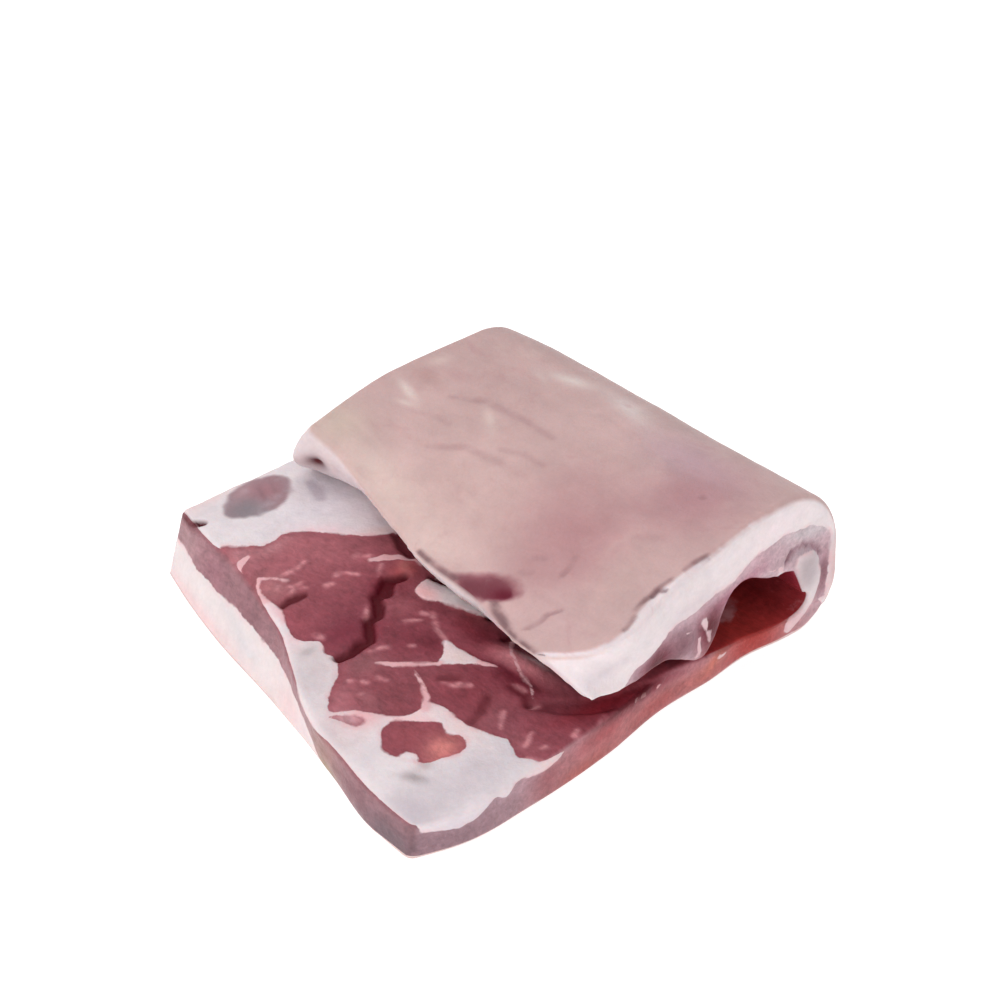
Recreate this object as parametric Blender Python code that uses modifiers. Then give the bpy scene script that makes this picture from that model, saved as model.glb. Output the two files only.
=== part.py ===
"""A pork belly slab: one piece of raw belly with its rind on, laid rind down and folded over
once, so that the meat side shows on the lower layer and the rind on the flap above it.

The slab is modelled flat, as it was cut from the side, with its edges rounded. Then every
point is folded: it keeps its place along the slab (s, from the lower layer's free edge round
the fold to the flap's free edge), across it (t, from the near cut end to the far one) and
through it (h, from the rind to the meat side), and the folded rind line says where that is.
Lengths here are in millimetres and become metres in the mesh. +Z is up, the fold lies along
Y on the +X side, and the origin is under the middle of the folded slab's box."""

import math

import bmesh
import bpy
import numpy as np

MM = 0.001

# The flat slab, and how it is divided along, across and through before it is folded.
LENGTH, WIDTH, DEPTH = 400.0, 225.0, 28.0
EDGE_ROUNDING = 5.0
ROWS_ACROSS, ROWS_THROUGH = 20, 3

# The folded rind line, stretch by stretch: the share of the slab's length at which each
# stretch ends, and how many rows of faces it gets.
FLOOR_END, HEEL_END, SIDE_END, CROWN_END, SHOULDER_END = 0.48, 0.545, 0.575, 0.70, 0.81
ROWS_ALONG = (22, 6, 2, 9, 5, 9)

# Sizes of that line where it isn't the same from the near end to the far one.
ACROSS = (0.0, 0.12, 0.25, 0.5, 0.75, 0.88, 1.0)
FREE_EDGE_X = (-124, -121, -113, -102, -93, -87, -80)
FOLD_X = (128, 128, 128, 129.5, 130, 130, 128)
SIDE_HEIGHT = (14, 15, 16, 18, 21, 22, 22)
CROWN_RADIUS = (44, 43, 42, 39, 36, 35, 35)
HANG_LENGTH = (84, 82, 77, 76.5, 69.5, 64.5, 60)
SHOULDER_TURN = (0.19, 0.20, 0.20, 0.20, 0.17, 0.14, 0.12)
HANG_TURN = (0.28, 0.34, 0.36, 0.36, 0.30, 0.20, 0.14)
HEEL_RADIUS = 24.0
SHOULDER_LENGTH = 45.0

# Thickness along the slab at its near end, near its middle and at its far end.
MIDDLE = 0.4
ALONG = (0.0, 0.14, 0.30, 0.48, 0.54, 0.60, 0.70, 0.78, 0.84, 0.90, 0.95, 1.0)
NEAR_THICKNESS = (17, 22, 21, 12, 22, 36, 40, 31, 54, 36, 29, 13)
MIDDLE_THICKNESS = (25, 29, 29, 17, 21, 27, 38, 45, 48, 46, 42, 36)
FAR_THICKNESS = (29, 31, 32, 20, 21, 25, 34, 44, 48, 48, 46, 42)

# Where the two cut ends run, from the lower layer's free edge to the flap's.
NEAR_ALONG = (0.0, 0.05, 0.12, 0.22, 0.30, 0.36, 0.42, 0.46, 0.52, 0.62, 0.86, 1.0)
NEAR_Y = (-77, -85, -89, -87, -83, -85, -84, -87, -89, -89, -90, -91)
FAR_ALONG = (0.0, 0.10, 0.25, 0.40, 0.50, 0.60, 0.70, 0.86, 1.0)
FAR_Y = (150, 147, 142, 134, 124, 117, 115, 118, 116)

# The free edges are cut on a slant. Each row is how far the meat side stands back from the
# rind there, and EDGE_REACH is the share of the length over which the slant dies away. At
# the flap's far corner the soft fat bulges out, and its meat side spreads past the cut end.
EDGE_REACH = 0.06
LOWER_SLANT_AT = (0.0, 0.10, 0.20, 0.30, 0.42, 0.55, 0.70, 1.0)
LOWER_SLANT = (4, 3, 0, -3, 4, 14, 19, 13)
FLAP_SLANT_AT = (0.0, 0.06, 0.20, 0.70, 0.86, 1.0)
FLAP_SLANT = (-2, 6, 18, 18, 6, -2)
CORNER_AT = (0.86, 0.94, 0.97, 1.0)
CORNER_SLANT = (0, 1, 9, 28)
FAR_BULGE, FAR_BULGE_FROM, FAR_BULGE_FULL = 14.0, 0.72, 1.0
FAR_SPREAD, FAR_SPREAD_REACH = 12.0, 0.15

# The slit left between the flap and the layer that it lies on.
SLIT = 1.2


def through(stations, values, at):
    """A smooth curve through the values at their stations."""
    stations = np.asarray(stations, float)
    values = np.asarray(values, float)
    at = np.clip(np.asarray(at, float), stations[0], stations[-1])
    slope = np.gradient(values, stations)
    i = np.clip(np.searchsorted(stations, at, side="right") - 1, 0, len(stations) - 2)
    step = stations[i + 1] - stations[i]
    u = (at - stations[i]) / step
    rise = 3 * u**2 - 2 * u**3
    leave = u - 2 * u**2 + u**3
    arrive = u**3 - u**2
    return (
        values[i] * (1 - rise) + values[i + 1] * rise
        + step * (leave * slope[i] + arrive * slope[i + 1])
    )


def eased(u):
    """From 0 to 1 with a soft start and end."""
    u = np.clip(u, 0, 1)
    return u * u * (3 - 2 * u)


def across(values, t):
    return through(ACROSS, values, t)


def floor_length(t):
    """Length of the flat stretch of rind, from the free edge to the start of the fold."""
    return across(FOLD_X, t) - HEEL_RADIUS - across(FREE_EDGE_X, t)


def rind_line(s, t):
    """Place and heading of the rind: flat on the table, round the heel, up the side, round
    the crown, and down the flap, as straight stretches and arcs laid end to end."""
    flat = 0 * t
    quarter = flat + math.pi / 2
    stretches = (
        (FLOOR_END, floor_length(t), flat),
        (HEEL_END, HEEL_RADIUS * quarter, quarter),
        (SIDE_END, across(SIDE_HEIGHT, t), flat),
        (CROWN_END, across(CROWN_RADIUS, t) * quarter, quarter),
        (SHOULDER_END, SHOULDER_LENGTH + flat, across(SHOULDER_TURN, t)),
        (1.0, across(HANG_LENGTH, t), across(HANG_TURN, t)),
    )
    x = across(FREE_EDGE_X, t)
    z = flat
    heading = flat
    start = 0.0
    for end, length, turn in stretches:
        done = length * np.clip((s - start) / (end - start), 0, 1)
        bend = np.where(turn == 0, 1e-9, turn / length)
        x = x + (np.sin(heading + bend * done) - np.sin(heading)) / bend
        z = z + (np.cos(heading) - np.cos(heading + bend * done)) / bend
        heading = heading + bend * done
        start = end
    return x, z, heading


def thickness(s, t):
    near, middle, far = (
        through(ALONG, row, s) for row in (NEAR_THICKNESS, MIDDLE_THICKNESS, FAR_THICKNESS)
    )
    to_middle = (middle - near) * eased(t / MIDDLE)
    to_far = (far - middle) * eased((t - MIDDLE) / (1 - MIDDLE))
    return near + to_middle + to_far


def folded(s, t, h):
    """Where a point of the flat slab lies once the slab is folded."""
    x, z, heading = rind_line(s, t)
    on_flap = s > SIDE_END
    inward_x = -np.sin(heading)
    inward_z = np.cos(heading)

    # The flap's meat side stops short of the layer below it.
    depth = thickness(s, t)
    drop = depth * np.abs(inward_z)
    below = np.clip((x + inward_x * depth - across(FREE_EDGE_X, t)) / floor_length(t), 0, 1)
    room = z - thickness(below * FLOOR_END, t) - SLIT
    squeezed = on_flap & (drop > room)
    depth = depth * np.where(squeezed, room / np.maximum(drop, 1e-6), 1.0)

    # Slanted cuts at the two free edges, and the fat that bulges at the flap's far corner.
    lower_edge = np.exp(-s / EDGE_REACH)
    flap_edge = np.exp(-(1 - s) / EDGE_REACH)
    lower_slant = through(LOWER_SLANT_AT, LOWER_SLANT, t) * lower_edge * h
    flap_slant = -inward_z * through(FLAP_SLANT_AT, FLAP_SLANT, t) * flap_edge * h
    bulge_share = np.clip((t - FAR_BULGE_FROM) / (FAR_BULGE_FULL - FAR_BULGE_FROM), 0, 1)
    bulge = FAR_BULGE * bulge_share * 4 * h * (1 - h) * flap_edge

    x = x + inward_x * depth * h + np.where(on_flap, flap_slant - bulge, lower_slant)
    z = z + inward_z * depth * h
    near = through(NEAR_ALONG, NEAR_Y, s) + through(CORNER_AT, CORNER_SLANT, s) * (1 - h)
    spread = FAR_SPREAD * h * np.exp(-(1 - s) / FAR_SPREAD_REACH)
    far = through(FAR_ALONG, FAR_Y, s) + np.where(on_flap, spread, 0)
    return np.stack([x, near + (far - near) * t, z], axis=-1)


def cut_places():
    """The rows of faces along the slab, as shares of its length."""
    ends = (0.0, FLOOR_END, HEEL_END, SIDE_END, CROWN_END, SHOULDER_END, 1.0)
    places = []
    for start, end, rows in zip(ends, ends[1:], ROWS_ALONG):
        places += [start + (end - start) * i / rows for i in range(rows)]
    return places[1:]


def flat_slab(collection):
    """The slab as it was cut, lying flat, divided into rows and with rounded edges."""
    bm = bmesh.new()
    bmesh.ops.create_cube(bm, size=1.0)
    bmesh.ops.translate(bm, verts=bm.verts, vec=(0.5, 0.5, 0.5))
    bmesh.ops.scale(bm, verts=bm.verts, vec=(LENGTH * MM, WIDTH * MM, DEPTH * MM))
    cuts = [((LENGTH * MM * place, 0, 0), (1, 0, 0)) for place in cut_places()]
    cuts += [((0, WIDTH * MM * i / ROWS_ACROSS, 0), (0, 1, 0)) for i in range(1, ROWS_ACROSS)]
    cuts += [((0, 0, DEPTH * MM * i / ROWS_THROUGH), (0, 0, 1)) for i in range(1, ROWS_THROUGH)]
    for point, normal in cuts:
        geometry = bm.verts[:] + bm.edges[:] + bm.faces[:]
        bmesh.ops.bisect_plane(bm, geom=geometry, dist=1e-7, plane_co=point, plane_no=normal)
    mesh = bpy.data.meshes.new("belly_slab")
    bm.to_mesh(mesh)
    bm.free()
    slab = bpy.data.objects.new("belly_slab", mesh)
    collection.objects.link(slab)
    rounding = slab.modifiers.new("rounded edges", "BEVEL")
    rounding.width = EDGE_ROUNDING * MM
    rounding.segments = 2
    rounding.limit_method = "ANGLE"
    return slab


def fold_over(slab):
    """Applies the rounding, then folds the slab and sets it over its origin."""
    seen = slab.evaluated_get(bpy.context.evaluated_depsgraph_get())
    mesh = bpy.data.meshes.new_from_object(seen)
    slab.modifiers.clear()
    slab.data = mesh
    flat = np.empty(len(mesh.vertices) * 3)
    mesh.vertices.foreach_get("co", flat)
    along, over, up = (flat.reshape(-1, 3) / MM / (LENGTH, WIDTH, DEPTH)).T
    placed = folded(along, over, up)
    middle = (placed.min(axis=0) + placed.max(axis=0)) / 2
    placed = (placed - (middle[0], middle[1], placed[:, 2].min())) * MM
    mesh.vertices.foreach_set("co", placed.ravel())
    mesh.update()
    mesh.shade_smooth()
    mesh.set_sharp_from_angle(angle=math.radians(40))


def raw_belly():
    """The slab's own material: pale rosy rind over meat, moist but not shiny."""
    material = bpy.data.materials.new("raw_belly")
    material.use_nodes = True
    shader = material.node_tree.nodes["Principled BSDF"]
    shader.inputs["Base Color"].default_value = (0.55, 0.37, 0.34, 1.0)
    shader.inputs["Roughness"].default_value = 0.45
    shader.inputs["Metallic"].default_value = 0.0
    return material


for leftover in list(bpy.data.objects):
    bpy.data.objects.remove(leftover)

belly = bpy.data.collections.new("pork_belly_slab")
bpy.context.scene.collection.children.link(belly)
slab = flat_slab(belly)
bpy.context.view_layer.update()
fold_over(slab)
slab.data.materials.append(raw_belly())
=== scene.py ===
import math

import bpy
import numpy as np
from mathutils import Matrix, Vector, noise


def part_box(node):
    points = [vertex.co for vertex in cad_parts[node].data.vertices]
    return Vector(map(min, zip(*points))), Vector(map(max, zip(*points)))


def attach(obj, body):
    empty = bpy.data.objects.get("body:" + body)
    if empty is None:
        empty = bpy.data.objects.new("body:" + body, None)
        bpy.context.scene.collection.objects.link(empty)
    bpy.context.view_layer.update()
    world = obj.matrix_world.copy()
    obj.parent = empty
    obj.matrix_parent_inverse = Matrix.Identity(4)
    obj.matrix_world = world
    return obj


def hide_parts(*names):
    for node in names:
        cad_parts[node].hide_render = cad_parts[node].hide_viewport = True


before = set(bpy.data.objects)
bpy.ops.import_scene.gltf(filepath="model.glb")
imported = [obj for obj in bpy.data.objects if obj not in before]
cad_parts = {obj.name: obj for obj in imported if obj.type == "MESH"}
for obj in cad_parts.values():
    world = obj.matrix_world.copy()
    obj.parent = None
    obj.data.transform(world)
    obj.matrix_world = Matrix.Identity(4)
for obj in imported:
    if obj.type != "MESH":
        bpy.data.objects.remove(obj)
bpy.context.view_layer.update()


# ---------------------------------------------------------------------------------------
# The folded slab. One piece of raw belly with its rind on, 225 mm across, laid rind down
# and folded over once, so that the meat side shows on the lower layer and the rind on the
# flap above it. Sizes here are millimetres, which become metres in the finished mesh.

MM = 0.001
WIDTH = 225.0
FLOOR_END, HEEL_END, SIDE_END, CROWN_END, SHOULDER_END = 0.48, 0.545, 0.575, 0.70, 0.81

ACROSS = (0.0, 0.12, 0.25, 0.5, 0.75, 0.88, 1.0)
FREE_EDGE_X = (-124, -122.5, -115, -104, -95, -88, -80)
FOLD_X = (128, 128, 128, 129.5, 130, 130, 128)
SIDE_HEIGHT = (14, 15, 16, 18, 21, 22, 22)
CROWN_RADIUS = (44, 43, 42, 39, 36, 35, 35)
HANG_LENGTH = (84, 82, 77, 76.5, 69.5, 64.5, 60)
SHOULDER_TURN = (0.19, 0.20, 0.20, 0.20, 0.17, 0.14, 0.12)
HANG_TURN = (0.28, 0.34, 0.36, 0.36, 0.30, 0.20, 0.14)
HEEL_RADIUS = 24.0
SHOULDER_LENGTH = 45.0

MIDDLE = 0.4
ALONG = (0.0, 0.14, 0.30, 0.48, 0.54, 0.60, 0.70, 0.78, 0.84, 0.90, 0.95, 1.0)
NEAR_THICKNESS = (17, 22, 21, 12, 22, 36, 40, 31, 54, 36, 29, 13)
MIDDLE_THICKNESS = (25, 29, 29, 17, 21, 27, 38, 45, 48, 46, 42, 36)
FAR_THICKNESS = (31, 34, 35, 20, 21, 25, 34, 44, 48, 48, 46, 42)

NEAR_ALONG = (0.0, 0.05, 0.12, 0.22, 0.30, 0.36, 0.42, 0.46, 0.52, 0.62, 0.86, 1.0)
NEAR_Y = (-79, -87.5, -90, -89, -84.5, -85, -84, -87, -89, -89, -90, -91)
FAR_ALONG = (0.0, 0.10, 0.25, 0.40, 0.50, 0.60, 0.70, 0.86, 1.0)
FAR_Y = (150, 147, 142, 134, 124, 117, 116, 122, 121)

EDGE_REACH = 0.06
LOWER_SLANT_AT = (0.0, 0.10, 0.20, 0.30, 0.42, 0.55, 0.70, 1.0)
LOWER_SLANT = (4, 3, 0, -3, 4, 14, 19, 13)
FLAP_SLANT_AT = (0.0, 0.06, 0.20, 0.70, 0.86, 1.0)
FLAP_SLANT = (-2, 6, 18, 18, 6, -2)
CORNER_AT = (0.86, 0.94, 0.97, 1.0)
CORNER_SLANT = (0, 1, 9, 28)
BULGE_AT = (0.0, 0.12, 0.25, 0.45, 0.60, 0.75, 1.0)
BULGE = (0, 0, 6, 6, 2, 1, 13)
FAR_SPREAD, FAR_SPREAD_REACH = 12.0, 0.15
SLIT = 1.2


def through(stations, values, at):
    """A smooth curve through the values at their stations."""
    stations = np.asarray(stations, float)
    values = np.asarray(values, float)
    at = np.clip(np.asarray(at, float), stations[0], stations[-1])
    slope = np.gradient(values, stations)
    i = np.clip(np.searchsorted(stations, at, side="right") - 1, 0, len(stations) - 2)
    step = stations[i + 1] - stations[i]
    u = (at - stations[i]) / step
    rise = 3 * u**2 - 2 * u**3
    leave = u - 2 * u**2 + u**3
    arrive = u**3 - u**2
    return (
        values[i] * (1 - rise) + values[i + 1] * rise
        + step * (leave * slope[i] + arrive * slope[i + 1])
    )


def eased(u):
    """From 0 to 1 with a soft start and end."""
    u = np.clip(u, 0, 1)
    return u * u * (3 - 2 * u)


def across(values, t):
    return through(ACROSS, values, t)


def floor_length(t):
    return across(FOLD_X, t) - HEEL_RADIUS - across(FREE_EDGE_X, t)


def rind_line(s, t):
    """Place and heading of the rind, s along the slab and t across it: flat on the table,
    round the heel, up the side, round the crown and down the flap."""
    flat = 0 * t
    quarter = flat + math.pi / 2
    stretches = (
        (FLOOR_END, floor_length(t), flat),
        (HEEL_END, HEEL_RADIUS * quarter, quarter),
        (SIDE_END, across(SIDE_HEIGHT, t), flat),
        (CROWN_END, across(CROWN_RADIUS, t) * quarter, quarter),
        (SHOULDER_END, SHOULDER_LENGTH + flat, across(SHOULDER_TURN, t)),
        (1.0, across(HANG_LENGTH, t), across(HANG_TURN, t)),
    )
    x = across(FREE_EDGE_X, t)
    z = flat
    heading = flat
    start = 0.0
    for end, length, turn in stretches:
        done = length * np.clip((s - start) / (end - start), 0, 1)
        bend = np.where(turn == 0, 1e-9, turn / length)
        x = x + (np.sin(heading + bend * done) - np.sin(heading)) / bend
        z = z + (np.cos(heading) - np.cos(heading + bend * done)) / bend
        heading = heading + bend * done
        start = end
    return x, z, heading


def thickness(s, t):
    near, middle, far = (
        through(ALONG, row, s) for row in (NEAR_THICKNESS, MIDDLE_THICKNESS, FAR_THICKNESS)
    )
    to_middle = (middle - near) * eased(t / MIDDLE)
    to_far = (far - middle) * eased((t - MIDDLE) / (1 - MIDDLE))
    return near + to_middle + to_far


def folded(s, t, h):
    """Where a point of the flat slab lies once it is folded, and how thick the slab is there.
    h runs from 0 at the rind to 1 at the meat side."""
    x, z, heading = rind_line(s, t)
    on_flap = s > SIDE_END
    inward_x = -np.sin(heading)
    inward_z = np.cos(heading)
    thick = thickness(s, t)
    drop = thick * np.abs(inward_z)
    below = np.clip((x + inward_x * thick - across(FREE_EDGE_X, t)) / floor_length(t), 0, 1)
    room = z - thickness(below * FLOOR_END, t) - SLIT
    squeezed = on_flap & (drop > room)
    thick = thick * np.where(squeezed, room / np.maximum(drop, 1e-6), 1.0)

    lower_edge = np.exp(-s / EDGE_REACH)
    flap_edge = np.exp(-(1 - s) / EDGE_REACH)
    lower_slant = through(LOWER_SLANT_AT, LOWER_SLANT, t) * lower_edge * h
    flap_slant = -inward_z * through(FLAP_SLANT_AT, FLAP_SLANT, t) * flap_edge * h**2
    bulge = through(BULGE_AT, BULGE, t) * 4 * h * (1 - h) * flap_edge

    x = x + inward_x * thick * h + np.where(on_flap, flap_slant - bulge, lower_slant)
    z = z + inward_z * thick * h
    near = through(NEAR_ALONG, NEAR_Y, s) + through(CORNER_AT, CORNER_SLANT, s) * (1 - h)
    spread = FAR_SPREAD * h * np.exp(-(1 - s) / FAR_SPREAD_REACH)
    far = through(FAR_ALONG, FAR_Y, s) + np.where(on_flap, spread, 0)
    return np.stack([x, near + (far - near) * t, z], axis=-1), thick


# The skin starts as a closed flat box of small quads, closest where the meat side lies
# open and along the flap's free edge. Its cut edges and corners are rounded while it is
# flat, and then every point is folded.

ROWS = (
    (0.34, 130), (FLOOR_END, 24), (HEEL_END, 12), (SIDE_END, 5), (CROWN_END, 26),
    (SHOULDER_END, 28), (1.0, 72),
)
COLUMNS = ((0.38, 104), (1.0, 122))
LAYERS = ((1.0, 15),)
MERGED_SHARE = 0.62
FLAT_SIZE = np.array((430.0, WIDTH, 30.0))
CUT_ROUNDING, CORNER_ROUNDING = 3.0, 5.0


def spaced(stretches):
    """Places from 0 to 1, in stretches that each have an end and a number of steps."""
    places = []
    start = 0.0
    for end, steps in stretches:
        places += list(start + (end - start) * np.arange(steps) / steps)
        start = end
    return np.array(places + [1.0])


def box_skin(rows, columns, layers):
    """Row, column and layer of every point on a box's surface, and the quads between them."""
    surface = np.ones((rows, columns, layers), bool)
    surface[1:-1, 1:-1, 1:-1] = False
    number = np.full(surface.shape, -1)
    number[surface] = np.arange(surface.sum())
    sheets = (
        (number[:, :, 0], True), (number[:, :, -1], False),
        (number[:, 0, :], False), (number[:, -1, :], True),
        (number[0, :, :], True), (number[-1, :, :], False),
    )
    quads = []
    for sheet, turned in sheets:
        ring = [sheet[:-1, :-1], sheet[1:, :-1], sheet[1:, 1:], sheet[:-1, 1:]]
        if turned:
            ring.reverse()
        quads.append(np.stack([corner.ravel() for corner in ring], axis=1))
    return np.argwhere(surface), np.concatenate(quads)


def past_the_round(place, size, radius):
    """How far a place has gone into the rounded strip at either end, from -1 to 1."""
    start = np.clip((place - radius) / radius, -1, 0)
    return start + np.clip((place - size + radius) / radius, 0, 1)


spacings = [spaced(stretches) for stretches in (ROWS, COLUMNS, LAYERS)]
cells, quads = box_skin(*(len(places) for places in spacings))
flat = np.stack([places[cells[:, i]] for i, places in enumerate(spacings)], axis=1) * FLAT_SIZE
u, v = (past_the_round(flat[:, i], FLAT_SIZE[i], CORNER_ROUNDING) for i in (0, 1))
flat[:, 0] += CORNER_ROUNDING * u * (np.sqrt(1 - v**2 / 2) - 1)
flat[:, 1] += CORNER_ROUNDING * v * (np.sqrt(1 - u**2 / 2) - 1)
u, v, w = (past_the_round(flat[:, i], FLAT_SIZE[i], CUT_ROUNDING) for i in range(3))
for i, (own, one, other) in enumerate(((u, v, w), (v, u, w), (w, u, v))):
    ball = np.sqrt(1 - one**2 / 2 - other**2 / 2 + one**2 * other**2 / 3)
    flat[:, i] += CUT_ROUNDING * own * (ball - 1)

s, t, h = (flat / FLAT_SIZE).T
placed, thick = folded(s, t, h)
x, y, z = placed.T
along, over = s * 400, t * WIDTH
rise, sunk = h * thick, (1 - h) * thick

row, column, layer = cells.T
on_rind = layer == 0
on_left = (row == 0) & ~on_rind
on_tip = (row == len(spacings[0]) - 1) & ~on_rind
on_near = (column == 0) & ~on_rind & ~on_left & ~on_tip
on_far = (column == len(spacings[1]) - 1) & ~on_rind & ~on_left & ~on_tip
on_meat = (layer == len(spacings[2]) - 1) & ~on_left & ~on_tip & ~on_near & ~on_far


# What shows where. Each point gets how far inside lean it lies in mm, the colours that lean
# and fat have there, how much dark red lies over it, and how far the surface stands up. That
# dark red is blood in some grooves and painted shade in gaps, pockets and along the flap's rim.
# Colours are as they look on a screen, 0 to 255.

DUSKY, MAROON = (143, 74, 84), (116, 48, 60)
LILAC, PINK_WHITE = (214, 204, 212), (232, 214, 214)
LEAN_LIMIT = 5.0
looks = {
    "lean": np.zeros(len(s)), "lean_tint": np.zeros((len(s), 3)), "fat_tint": np.zeros((len(s), 3)),
    "blood": np.zeros(len(s)), "lift": np.zeros(len(s)),
}


def lay(points, share, **values):
    """Lays a new look over some of the points, fully where its share is 1."""
    for name, value in values.items():
        old = looks[name][points]
        looks[name][points] = old + (value - old) * (share if old.ndim == 1 else share[:, None])


def lumps(points, size, seed, stretch=(1, 1, 1)):
    """Smooth unevenness from -1 to 1, with lumps of about this size."""
    spots = placed[points] / (size * np.array(stretch)) + seed * 7.31
    return np.array([noise.noise(spot) for spot in spots.tolist()])


def oval(px, py, cx, cy, long, short, turn):
    """A soft oval spot, 1 in its middle: half length, half width and turn in degrees."""
    c, n = math.cos(math.radians(turn)), math.sin(math.radians(turn))
    ahead, aside = (px - cx) * c + (py - cy) * n, (py - cy) * c - (px - cx) * n
    return np.exp(-(ahead / long)**2 - (aside / short)**2)


def washed(ground, px, py, washes):
    """The ground colour with soft oval washes of other colours laid over it."""
    colour = np.zeros((len(px), 3)) + np.array(ground, float)
    for tint, cx, cy, long, short, turn, strength in washes:
        share = np.clip(oval(px, py, cx, cy, long, short, turn) * strength, 0, 1)
        colour += (np.array(tint) - colour) * share[:, None]
    return colour


def soft_ring(corners, steps=5):
    """A closed soft outline through a few corners."""
    corners = np.array(corners, float)
    a, b, c, d = (np.roll(corners, shift, axis=0) for shift in (1, 0, -1, -2))
    u = (np.arange(steps) / steps)[:, None, None]
    bow = a - 2.5 * b + 2 * c - d / 2 + u * (1.5 * (b - c) + (d - a) / 2)
    ring = b + u * ((c - a) / 2 + u * bow)
    return ring.transpose(1, 0, 2).reshape(-1, 2)


def gap_to(px, py, start, end):
    """Distance from each point to a straight run, and the share of the run that it is at."""
    run = end - start
    share = ((px - start[0]) * run[0] + (py - start[1]) * run[1]) / (run @ run)
    share = np.clip(share, 0, 1)
    return np.hypot(px - start[0] - share * run[0], py - start[1] - share * run[1]), share


def inside(corners, px, py):
    """How far each point lies inside a soft outline, negative outside it."""
    ring = soft_ring(corners)
    gap = np.full(len(px), np.inf)
    crossings = np.zeros(len(px), int)
    for start, end in zip(ring, np.roll(ring, -1, axis=0)):
        gap = np.minimum(gap, gap_to(px, py, start, end)[0])
        if start[1] != end[1]:
            at = start[0] + (py - start[1]) / (end[1] - start[1]) * (end[0] - start[0])
            crossings += ((start[1] > py) != (end[1] > py)) & (px < at)
    return np.where(crossings % 2 == 1, gap, -gap)


def beside(route, px, py):
    """Distance of each point from a bent line, less half its width there. Each point of the
    route is x, y and the width."""
    route = np.array(route, float)
    nearest = np.full(len(px), np.inf)
    for start, end in zip(route, route[1:]):
        gap, share = gap_to(px, py, start[:2], end[:2])
        nearest = np.minimum(nearest, gap - (start[2] + (end[2] - start[2]) * share) / 2)
    return nearest


def line_of(route, px, py, softness=0.8):
    """1 on a bent line and 0 beyond its softness."""
    return np.exp(-(np.maximum(beside(route, px, py), 0) / softness)**2)


# Inside the fold and under the flap: dark lean with streaks of fat. These dark tints, darkest
# towards the top of the hollow, are partly the lean's own colour and partly painted shade.
everywhere = np.arange(len(s))
streaks = lumps(everywhere, 26, 8, (2.5, 1, 1))
lay(
    everywhere, np.ones(len(s)),
    lean=np.clip(2.5 + 9 * streaks, -LEAN_LIMIT, LEAN_LIMIT),
    lean_tint=washed((138, 44, 52), x, z, (
        ((126, 28, 52), 85, 45, 40, 14, 0, 0.9), ((180, 62, 58), 75, 10, 34, 10, 0, 0.95),
    )),
    fat_tint=washed((168, 84, 88), x, z, (((206, 150, 150), 100, 20, 6, 8, 0, 0.5),)),
)

# The left cut face, from its near end to its far end (over) and up from the rind (rise).
LEFT_LOW_AT = (0, 56, 70, 81, 95, 110, 133, 153, 174, 200, 225)
LEFT_LOW = (-0.2, -0.2, 0.15, 0.55, 0.70, 0.70, 0.64, 0.60, 0.54, 0.54, 0.60)
LEFT_HIGH_AT = (0, 50, 66, 76, 90, 102, 225)
LEFT_HIGH = (1.3, 1.3, 0.95, 0.86, 0.92, 1.3, 1.3)


def left_face(points):
    a, b, thin = over[points], rise[points], thick[points]
    uneven = 1.0 * lumps(points, 14, 31) + 0.5 * lumps(points, 4, 32)
    lean = np.minimum(
        b - through(LEFT_LOW_AT, LEFT_LOW, a) * thin, through(LEFT_HIGH_AT, LEFT_HIGH, a) * thin - b,
    ) + uneven
    return {
        "lean": np.clip(lean, -LEAN_LIMIT, LEAN_LIMIT),
        "lean_tint": washed((155, 115, 121), a, b, (
            ((166, 130, 134), 214, 22, 14, 6, 0, 0.8), ((152, 104, 114), 186, 20, 12, 9, 0, 0.7),
            ((138, 97, 104), 152, 20, 18, 9, 0, 0.9), ((160, 116, 122), 116, 18, 14, 8, 0, 0.6),
            ((160, 122, 116), 62, 10, 13, 14, 0, 1.0), ((150, 128, 102), 62, 3, 8, 4, 0, 0.9),
            ((138, 98, 104), 38, 9, 12, 12, 0, 0.8), ((112, 90, 97), 12, 5, 20, 9, 0, 1.0),
        )),
        "fat_tint": washed((222, 209, 209), a, b, (
            ((207, 200, 203), 150, 10, 20, 2.5, 8, 0.8), ((229, 196, 197), 190, 3, 45, 3, 0, 0.8),
            ((224, 190, 191), 98, 8, 16, 8, 0, 0.7), ((212, 196, 200), 76, 17, 10, 5, 0, 0.6),
        )),
        "blood": oval(a, sunk[points], 217, 1.5, 8, 2.2, 0),
        "lift": 0.35 * lean / LEAN_LIMIT,
    }


left = np.flatnonzero(on_left)
lay(left, np.ones(len(left)), **left_face(left))

# The near cut face, in x and z. The white band under the flap's rind ends in a soft line,
# with mauve lean below it, a pale band round the inside of the fold and a few fat seams.
BAND_X = (-30, -13, -8, 5, 14, 28, 42, 54, 64, 75, 85, 97, 109, 121, 128)
BAND_Z = (34, 36, 40, 45, 50, 52, 55, 56, 61, 63, 64, 62, 59, 49, 36)
FOLD_BAND = (
    (98, 46), (106, 45), (112, 43), (115, 34), (116, 26), (114, 16), (107, 8), (98, 3), (97, 9),
    (104, 14), (103, 22), (101, 31), (99, 38),
)
NEAR_SEAMS = (
    ((23, 44, 1.5), (29, 41, 2.2), (33, 35, 3.2), (34, 28, 2.6), (29, 24, 2)),
    ((36, 43, 5), (39, 39, 4), (40, 31, 1.5)),
    ((72, 51.5, 1.0), (82, 47, 1.8), (94, 45, 1.5)),
    ((83, 45, 1.5), (87, 42.5, 1.8), (91, 43.5, 1.2)),
    ((-2, 19.5, 2.5), (4, 19, 3.5), (8, 16.5, 1)), ((14, 17, 2), (19, 15.5, 2.5)),
    ((28, 15, 1), (33, 14, 1.5)), ((54, 12, 2.5), (59, 11, 1.5)),
)
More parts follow.
